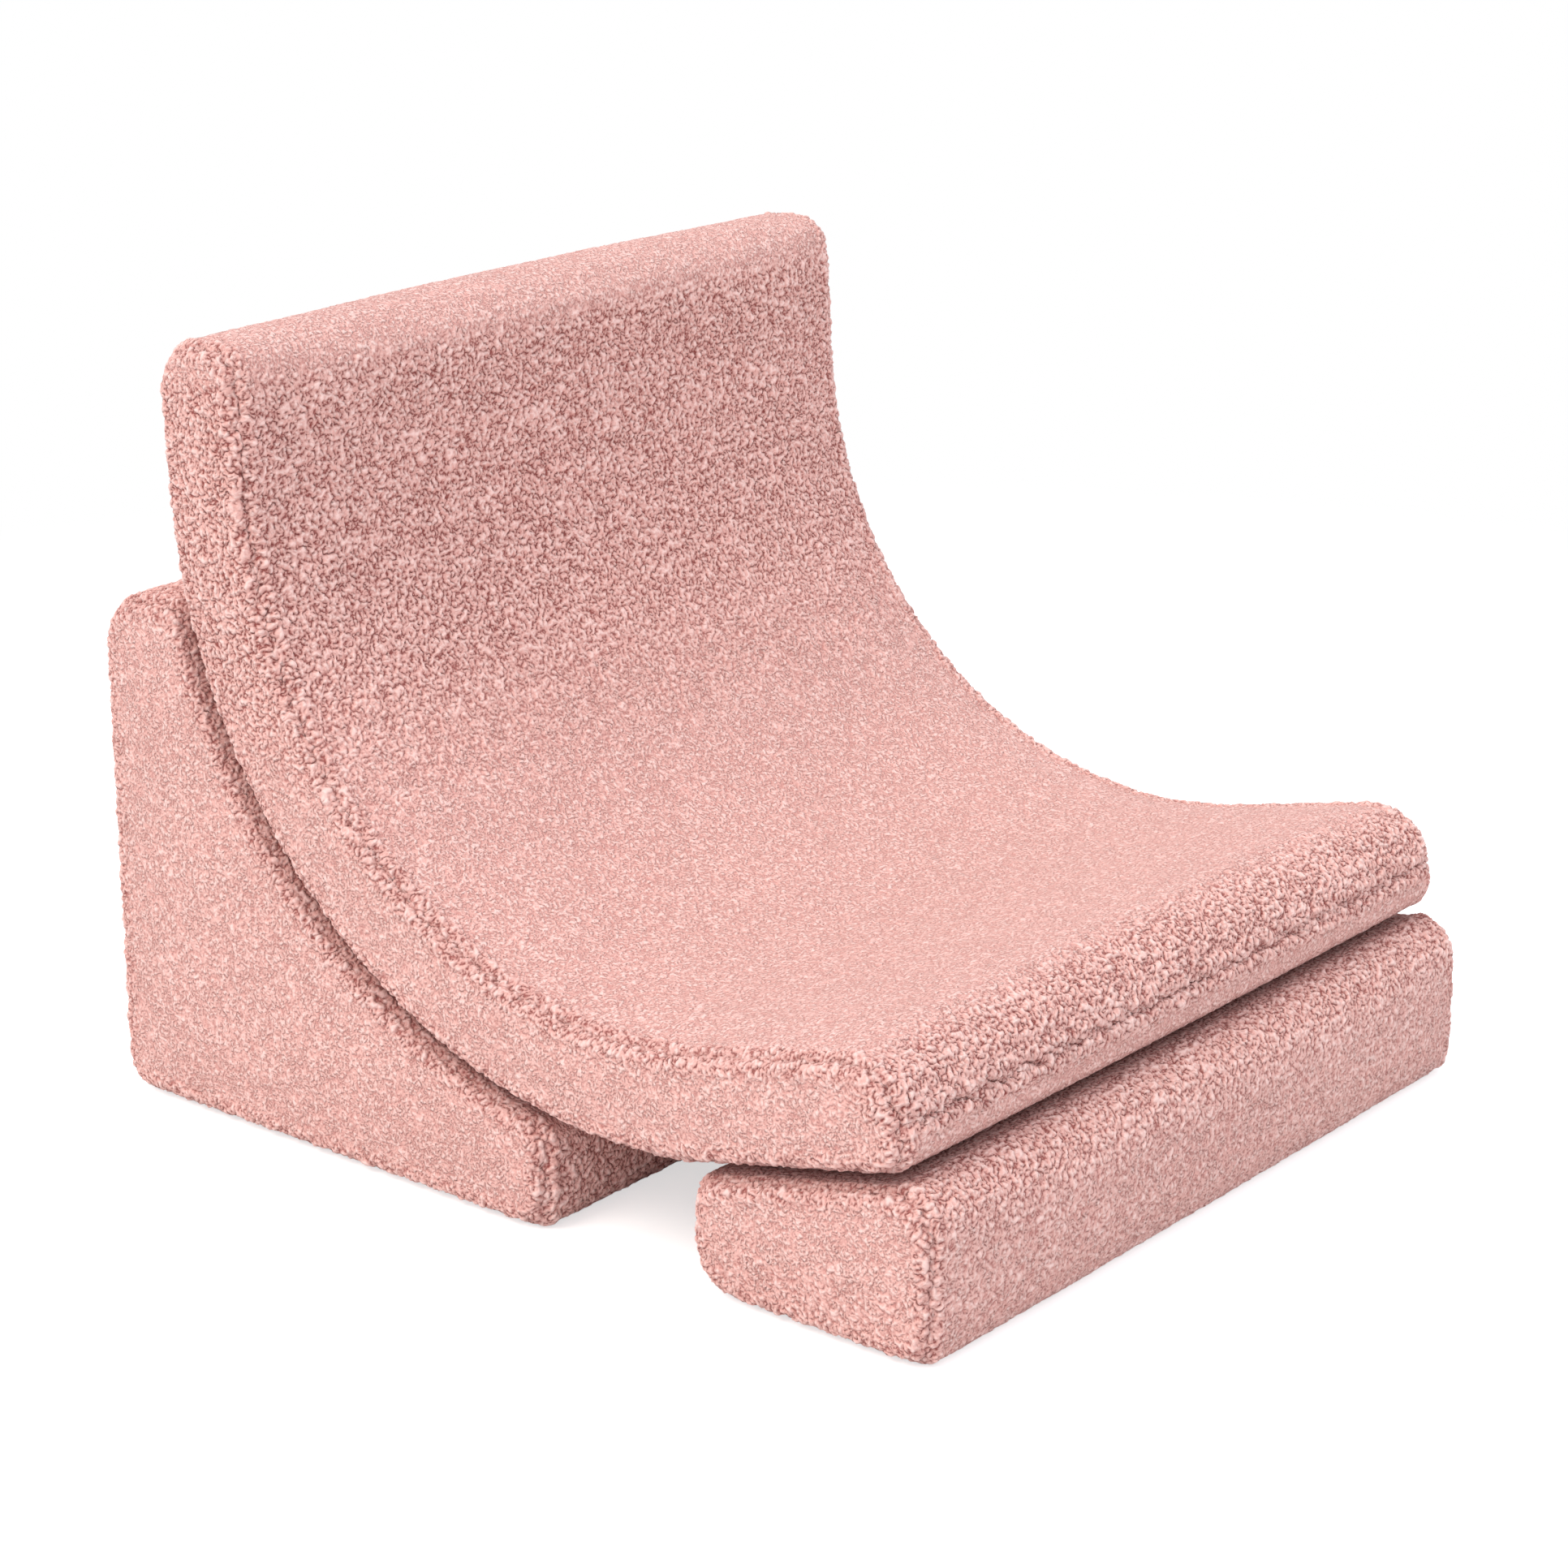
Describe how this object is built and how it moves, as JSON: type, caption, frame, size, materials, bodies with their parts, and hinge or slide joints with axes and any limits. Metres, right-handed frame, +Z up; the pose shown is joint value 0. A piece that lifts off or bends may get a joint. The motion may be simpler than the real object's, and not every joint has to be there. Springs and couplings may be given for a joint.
{
  "type": "kids armchair",
  "caption": "Low lounge chair for a child: a curved padded seat shell resting loose on a rear wedge and a front block, all in boucle covers.",
  "frame": {"origin": "bottom centre of the whole chair's box, on the floor", "axes": "+X across the width towards the sitter's left, +Y to the rear, so the sitter faces -Y, +Z up"},
  "size_m": [0.57, 0.66, 0.5051],
  "materials": {
    "boucle": "dusty pink teddy boucle, curly pile 5 to 8 mm",
    "foam": "open-cell polyurethane foam",
    "zip_tape": "woven polyester tape with moulded teeth",
    "zip_metal": "satin nickel"
  },
  "bodies": {
    "rear_wedge": {"rear_wedge_foam": "foam", "rear_wedge_upper_cover": "boucle", "rear_wedge_base_cover": "boucle", "rear_wedge_right_gusset": "boucle", "rear_wedge_left_gusset": "boucle", "rear_wedge_zip_upper_half": "zip_tape", "rear_wedge_zip_lower_half": "zip_tape", "rear_wedge_zip_stops": "zip_metal"},
    "rear_wedge_zip_slider": {"rear_wedge_zip_slider": "zip_metal"},
    "rear_wedge_zip_puller": {"rear_wedge_zip_puller": "zip_metal"},
    "seat_shell": {"seat_shell_foam": "foam", "seat_shell_seat_cover": "boucle", "seat_shell_under_cover": "boucle", "seat_shell_right_gusset": "boucle", "seat_shell_left_gusset": "boucle", "seat_shell_zip_upper_half": "zip_tape", "seat_shell_zip_lower_half": "zip_tape", "seat_shell_zip_stops": "zip_metal"},
    "seat_shell_zip_slider": {"seat_shell_zip_slider": "zip_metal"},
    "seat_shell_zip_puller": {"seat_shell_zip_puller": "zip_metal"},
    "front_block": {"front_block_foam": "foam", "front_block_upper_cover": "boucle", "front_block_base_cover": "boucle", "front_block_right_gusset": "boucle", "front_block_left_gusset": "boucle", "front_block_zip_upper_half": "zip_tape", "front_block_zip_lower_half": "zip_tape", "front_block_zip_stops": "zip_metal"},
    "front_block_zip_slider": {"front_block_zip_slider": "zip_metal"},
    "front_block_zip_puller": {"front_block_zip_puller": "zip_metal"}
  },
  "joints": [
    {"name": "seat_shell_lift", "type": "slide", "parent": "rear_wedge", "child": "seat_shell", "axis": [0, 0, 1], "range_m": [0, 0.35]},
    {"name": "front_block_slide", "type": "slide", "parent": "rear_wedge", "child": "front_block", "axis": [0, -1, 0], "range_m": [0, 0.3]},
    {"name": "seat_shell_zip_travel", "type": "slide", "parent": "seat_shell", "child": "seat_shell_zip_slider", "axis": [-1, 0, 0], "range_m": [0, 0.308]},
    {"name": "seat_shell_puller_swing", "type": "hinge", "parent": "seat_shell_zip_slider", "child": "seat_shell_zip_puller", "pos_m": [0.154, 0.2598, 0.43738], "axis": [0, -0.0558, -0.9984], "range_deg": [0, 175]},
    {"name": "rear_wedge_zip_travel", "type": "slide", "parent": "rear_wedge", "child": "rear_wedge_zip_slider", "axis": [-1, 0, 0], "range_m": [0, 0.308]},
    {"name": "rear_wedge_puller_swing", "type": "hinge", "parent": "rear_wedge_zip_slider", "child": "rear_wedge_zip_puller", "pos_m": [0.154, 0.32295, 0.046], "axis": [0, 0, -1], "range_deg": [0, 175]},
    {"name": "front_block_zip_travel", "type": "slide", "parent": "front_block", "child": "front_block_zip_slider", "axis": [-1, 0, 0], "range_m": [0, 0.308]},
    {"name": "front_block_puller_swing", "type": "hinge", "parent": "front_block_zip_slider", "child": "front_block_zip_puller", "pos_m": [0.154, -0.15305, 0.042], "axis": [0, 0, -1], "range_deg": [0, 175]}
  ]
}
